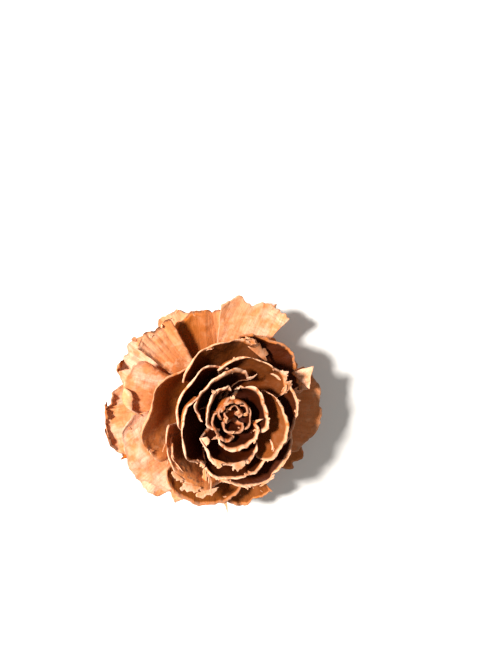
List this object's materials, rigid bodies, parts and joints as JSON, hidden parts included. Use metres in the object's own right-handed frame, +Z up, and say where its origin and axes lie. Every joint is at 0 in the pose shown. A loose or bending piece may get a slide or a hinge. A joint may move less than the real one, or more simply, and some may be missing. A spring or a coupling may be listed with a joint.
{
  "type": "cedar rose cone",
  "caption": "Rose-shaped crown of a deodar cone: fan-shaped woody scales in one spiral, spread flat at the bottom and cupped round the tip.",
  "frame": {"origin": "middle of the flat broken end of the cone's axis, which the rose stands on", "axes": "+Z up along the cone's axis, towards its tip; +X and +Y across, in the directions that look right and up in the picture"},
  "size_m": [0.0648, 0.0634, 0.0311],
  "materials": {
    "scale_wood": "dry and matt, reddish brown, paler at the worn scale edges"
  },
  "bodies": {
    "root": {"cedar_rose": "scale_wood"}
  },
  "joints": []
}
